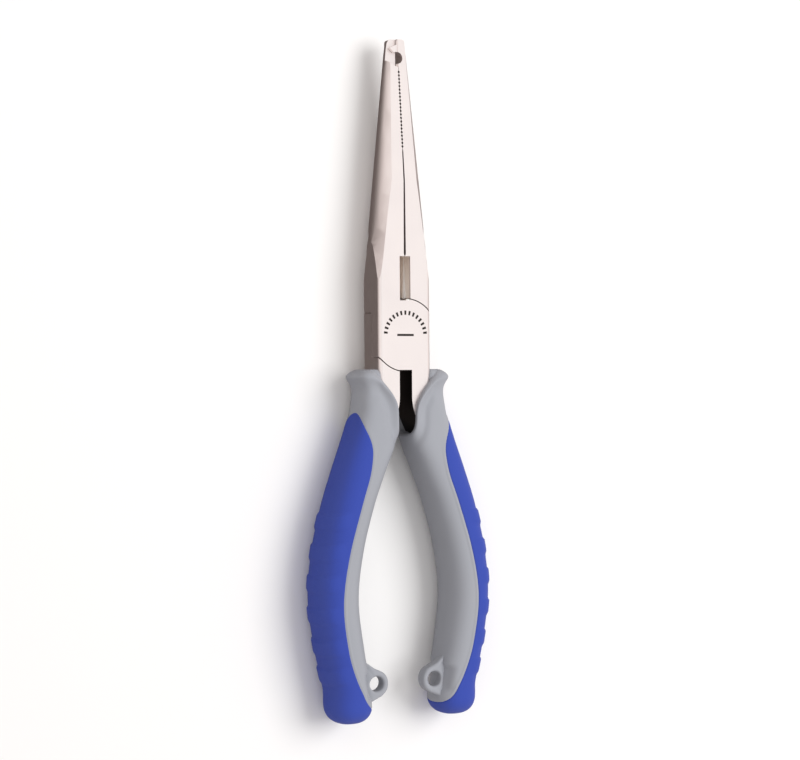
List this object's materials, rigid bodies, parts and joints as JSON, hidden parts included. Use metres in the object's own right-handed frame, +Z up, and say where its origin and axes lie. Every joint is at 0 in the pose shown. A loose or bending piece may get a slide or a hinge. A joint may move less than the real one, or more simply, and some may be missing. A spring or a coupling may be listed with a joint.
{
  "type": "fishing pliers",
  "caption": "Long-nose fishing pliers with a lap joint, toothed jaws, a split-ring hook at the tip, a side cutter and bowed two-colour grips with lanyard loops.",
  "frame": {"origin": "on the floor under the middle of the closed pliers' box", "axes": "+X to the side of the rear half's jaw, +Y towards the tip of the jaws, +Z up, out of the joint's front face"},
  "size_m": [0.0544, 0.19, 0.0166],
  "materials": {
    "steel": "satin",
    "rivet_steel": "satin",
    "hard_grip": "matt",
    "soft_grip": "matt"
  },
  "bodies": {
    "front_side": {"front_half": "steel", "pivot_rivet": "rivet_steel", "right_grip_core": "hard_grip", "right_grip_overlay": "soft_grip"},
    "rear_side": {"rear_half": "steel", "left_grip_core": "hard_grip", "left_grip_overlay": "soft_grip"}
  },
  "joints": [
    {"name": "pivot", "type": "hinge", "parent": "front_side", "child": "rear_side", "pos_m": [0, 0.0122, 0.0083], "axis": [0, 0, -1], "range_deg": [0, 40]}
  ]
}
